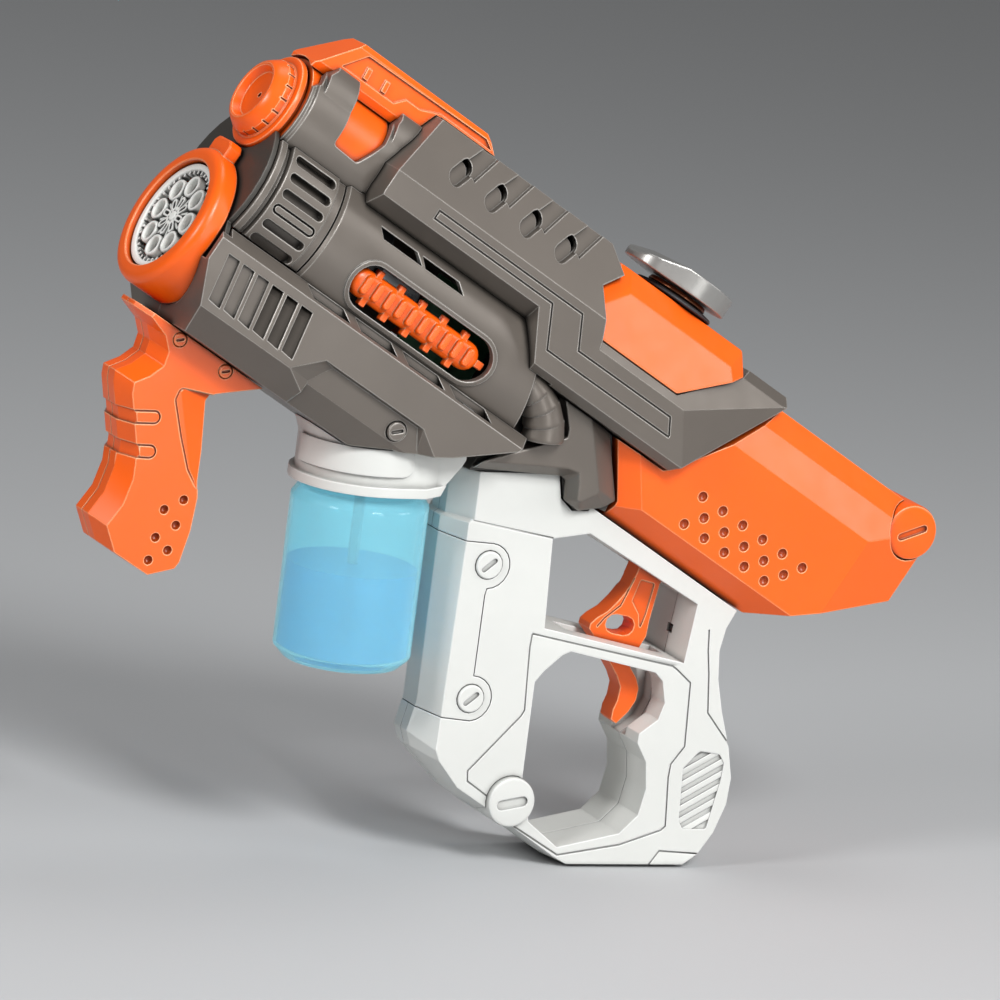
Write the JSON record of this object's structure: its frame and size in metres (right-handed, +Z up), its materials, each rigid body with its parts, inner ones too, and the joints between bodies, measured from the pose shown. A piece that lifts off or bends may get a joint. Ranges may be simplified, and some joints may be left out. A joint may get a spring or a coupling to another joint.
{
  "type": "bubble machine",
  "caption": "Hand-held toy bubble blaster with a pitched barrel, upright grip frame, trigger, fan-blown bubble wand and a screw-in soap bottle.",
  "frame": {"origin": "centre of the bounding box's footprint, at the level of the grip's butt", "axes": "+Z up, +X from the muzzle to the stock, +Y to the shooter's right; the barrel is pitched 30 degrees nose-up in the XZ plane"},
  "size_m": [0.298, 0.06, 0.2661],
  "materials": {
    "orange_plastic": "satin moulded",
    "grey_plastic": "warm gunmetal satin",
    "dark_plastic": "matt moulded",
    "white_plastic": "satin moulded",
    "clear_blue_plastic": "clear blown bottle",
    "black_plastic": "matt moulded",
    "motor_steel": "rolled steel can",
    "copper_trim": "copper paint",
    "silver_trim": "silver paint",
    "board_green": "solder mask",
    "clear_tube": "clear soft tube",
    "battery_cell": "sleeved cell"
  },
  "bodies": {
    "housing": {"lower_armour_left": "grey_plastic", "lower_armour_right": "grey_plastic", "rail_armour_left": "grey_plastic", "rail_armour_right": "grey_plastic", "receiver_panel_left": "orange_plastic", "receiver_panel_right": "orange_plastic", "barrel_shell_left": "grey_plastic", "barrel_shell_right": "grey_plastic", "ribbed_core_left": "orange_plastic", "ribbed_core_right": "orange_plastic", "front_shroud_left": "grey_plastic", "front_shroud_right": "grey_plastic", "cap_sleeve_left": "grey_plastic", "cap_sleeve_right": "grey_plastic", "inner_tube": "orange_plastic", "top_bridge": "orange_plastic", "front_cap": "orange_plastic", "muzzle_bezel": "orange_plastic", "front_bulkhead": "dark_plastic", "wand_motor": "motor_steel", "fan_housing": "black_plastic", "fan_motor": "motor_steel", "circuit_board": "board_green", "soap_pump": "white_plastic", "wand_hose": "clear_tube", "bottle_hose": "clear_tube", "knob_seat": "black_plastic", "receiver_block": "dark_plastic", "side_bracket_left": "grey_plastic", "side_bracket_right": "grey_plastic", "conduit_left": "dark_plastic", "conduit_right": "dark_plastic", "stock_left": "orange_plastic", "stock_right": "orange_plastic", "stock_pin": "orange_plastic", "foregrip_left": "orange_plastic", "foregrip_right": "orange_plastic", "foregrip_screw_front": "orange_plastic", "foregrip_screw_rear": "orange_plastic", "pod_screw": "grey_plastic", "grip_left": "white_plastic", "grip_right": "white_plastic", "grip_pin": "white_plastic", "battery_cover": "white_plastic", "cover_screw_top": "white_plastic", "cover_screw_foot": "white_plastic", "battery_front": "battery_cell", "battery_rear": "battery_cell", "trigger_pin": "motor_steel", "micro_switch": "black_plastic", "dip_tube": "clear_tube", "bottle_collar": "white_plastic"},
    "wand": {"bubble_wand": "white_plastic", "wand_gear": "dark_plastic"},
    "pinion": {"motor_pinion": "dark_plastic"},
    "fan": {"fan_impeller": "black_plastic"},
    "knob": {"knob_neck": "copper_trim", "mode_knob": "silver_trim"},
    "trigger": {"trigger": "orange_plastic"},
    "bottle": {"bottle": "clear_blue_plastic"}
  },
  "joints": [
    {"name": "wand_spin", "type": "hinge", "parent": "housing", "child": "wand", "pos_m": [-0.11785, 0, 0.2007], "axis": [0.866, 0, -0.5], "continuous": true},
    {"name": "pinion_spin", "type": "hinge", "parent": "housing", "child": "pinion", "pos_m": [-0.10726, 0, 0.21704], "axis": [0.866, 0, -0.5], "continuous": true},
    {"name": "fan_spin", "type": "hinge", "parent": "housing", "child": "fan", "pos_m": [-0.07361, 0, 0.19733], "axis": [0.866, 0, -0.5], "continuous": true},
    {"name": "knob_turn", "type": "hinge", "parent": "housing", "child": "knob", "pos_m": [0.05054, 0, 0.18916], "axis": [0.5, 0, 0.866], "range_deg": [-45, 45]},
    {"name": "trigger_pull", "type": "hinge", "parent": "housing", "child": "trigger", "pos_m": [0.054, 0, 0.09875], "axis": [0, -1, 0], "range_deg": [0, 7], "stiffness_Nm_per_rad": 0.4, "springref_deg": -11.46},
    {"name": "bottle_drop", "type": "slide", "parent": "housing", "child": "bottle", "axis": [0, 0, -1], "range_m": [0, 0.03]}
  ],
  "couplings": [
    {"joint": "pinion_spin", "follows": "wand_spin", "ratio": -3}
  ]
}
